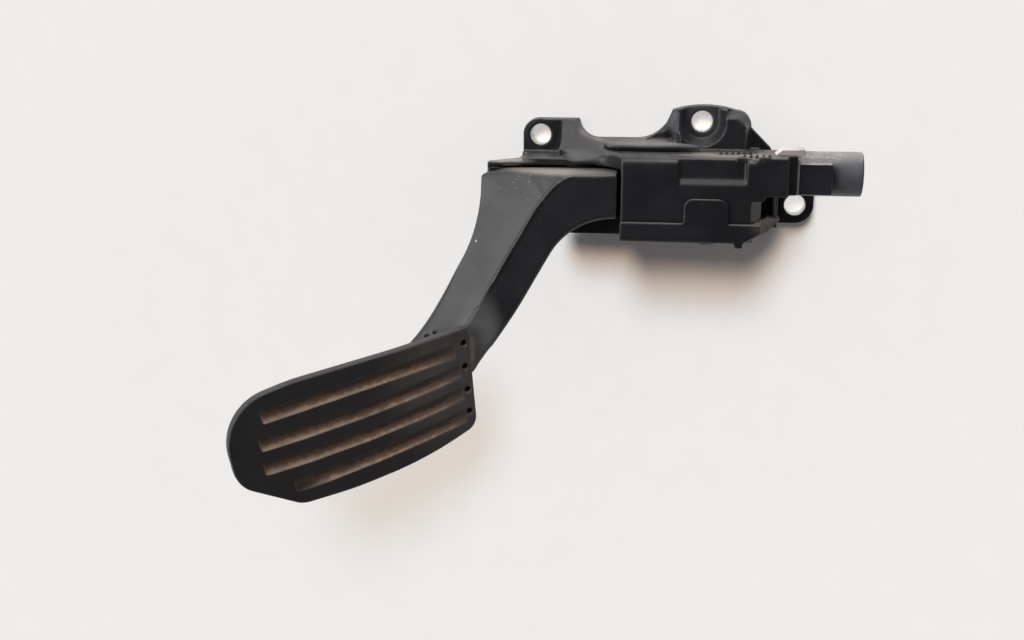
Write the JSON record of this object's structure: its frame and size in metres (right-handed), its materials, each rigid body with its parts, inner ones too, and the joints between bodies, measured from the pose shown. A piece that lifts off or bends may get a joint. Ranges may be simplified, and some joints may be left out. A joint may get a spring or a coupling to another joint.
{
  "type": "accelerator pedal",
  "caption": "Electronic accelerator pedal with a moulded arm, a grooved foot pad and a flange-mounted sensor housing with a round connector socket.",
  "frame": {"origin": "on the mounting plane, on the axis of the left mounting hole", "axes": "+Z away from the bulkhead, +X towards the connector, +Y away from the foot pad; the pivot axis is parallel to Y"},
  "size_m": [0.2514, 0.1576, 0.1094],
  "materials": {
    "housing_plastic": "moulded, fine spark texture, dusty and scuffed",
    "arm_plastic": "moulded, satin, scuffed along the ridge",
    "pad_plastic": "moulded, worn matt, soil in the grooves",
    "connector_plastic": "moulded, semi-gloss",
    "sleeve_steel": "plated, dull",
    "shaft_steel": "ground",
    "spring_steel": "drawn wire",
    "screw_steel": "plated",
    "bearing_polymer": "machined polymer",
    "seat_polymer": "moulded natural polymer",
    "board_laminate": "solder mask",
    "chip_resin": "moulded resin",
    "terminal_brass": "tinned at the tips",
    "rotor_aluminium": "punched sheet",
    "seal_rubber": "moulded",
    "stop_rubber": "moulded"
  },
  "bodies": {
    "housing_body": {"housing": "housing_plastic", "side_cover": "housing_plastic", "mount_sleeve_left": "sleeve_steel", "mount_sleeve_top": "sleeve_steel", "mount_sleeve_right": "sleeve_steel", "upper_bush": "bearing_polymer", "lower_bush": "bearing_polymer", "upper_thrust_washer": "bearing_polymer", "lower_thrust_washer": "bearing_polymer", "circuit_board": "board_laminate", "sensor_chip_1": "chip_resin", "sensor_chip_2": "chip_resin", "terminal_1": "terminal_brass", "terminal_2": "terminal_brass", "terminal_3": "terminal_brass", "terminal_4": "terminal_brass", "terminal_5": "terminal_brass", "terminal_6": "terminal_brass", "connector_shroud": "connector_plastic", "connector_gasket": "seal_rubber", "cover_screws": "screw_steel", "outer_return_spring": "spring_steel", "inner_return_spring": "spring_steel", "idle_stop_bumper": "stop_rubber"},
    "pedal": {"pedal_arm": "arm_plastic", "pedal_pad": "pad_plastic", "pivot_shaft": "shaft_steel", "sensor_rotor": "rotor_aluminium", "spring_seat": "seat_polymer"}
  },
  "joints": [
    {"name": "pedal_pivot", "type": "hinge", "parent": "housing_body", "child": "pedal", "pos_m": [0.019, -0.021, 0.022], "axis": [0, -1, 0], "range_deg": [0, 18], "stiffness_Nm_per_rad": 4.1, "springref_deg": -37.82, "deforming": ["outer_return_spring", "inner_return_spring"]}
  ]
}
